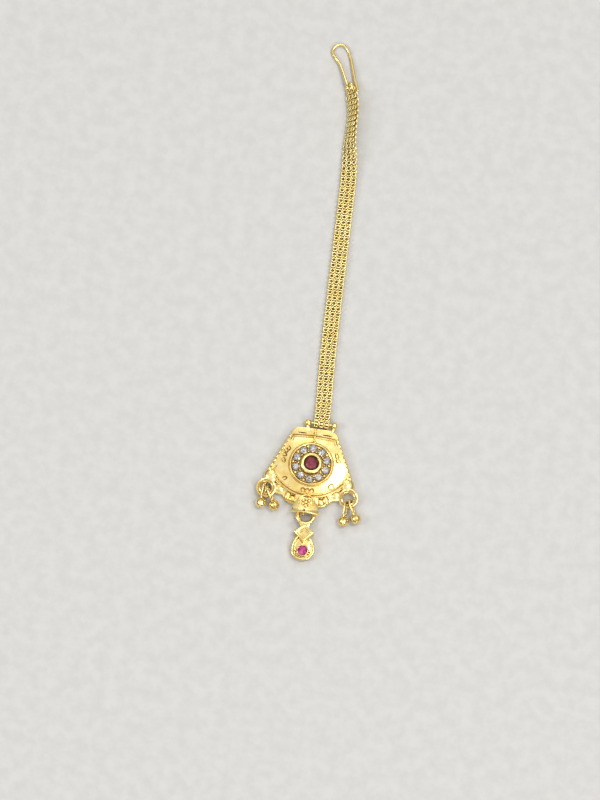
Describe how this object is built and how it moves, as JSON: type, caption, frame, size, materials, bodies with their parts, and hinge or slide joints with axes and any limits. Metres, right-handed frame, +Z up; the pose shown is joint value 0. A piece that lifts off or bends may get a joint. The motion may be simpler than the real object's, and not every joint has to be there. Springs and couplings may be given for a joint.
{
  "type": "maang tikka",
  "caption": "Forehead ornament: domed plate with a stone cluster, small ball drops and a teardrop, on a flat mesh chain with a wire hair hook.",
  "frame": {"origin": "middle of the bounding box at the surface that the ornament lies on", "axes": "+X across the plate to the wearer's left as seen from the front, +Y along the chain from the drop towards the hair hook, +Z up out of the ornament's face"},
  "size_m": [0.0258, 0.1276, 0.0044],
  "materials": {
    "gold_polished": "polished gold plating",
    "gold_satin": "satin gold plating",
    "red_stone": "faceted, polished",
    "clear_stone": "faceted, polished",
    "pink_stone": "faceted, polished"
  },
  "bodies": {
    "root": {"hair_hook": "gold_polished", "mesh_chain": "gold_polished", "pendant_plate": "gold_satin", "centre_stone": "red_stone", "ring_stone_01": "clear_stone", "ring_stone_02": "clear_stone", "ring_stone_03": "clear_stone", "ring_stone_04": "clear_stone", "ring_stone_05": "clear_stone", "ring_stone_06": "clear_stone", "ring_stone_07": "clear_stone", "ring_stone_08": "clear_stone", "ring_stone_09": "clear_stone", "ring_stone_10": "clear_stone", "drop": "gold_polished", "drop_stone": "pink_stone", "ghungroo_left_outer": "gold_polished", "ghungroo_left_inner": "gold_polished", "ghungroo_right_inner": "gold_polished", "ghungroo_right_outer": "gold_polished"}
  },
  "joints": []
}
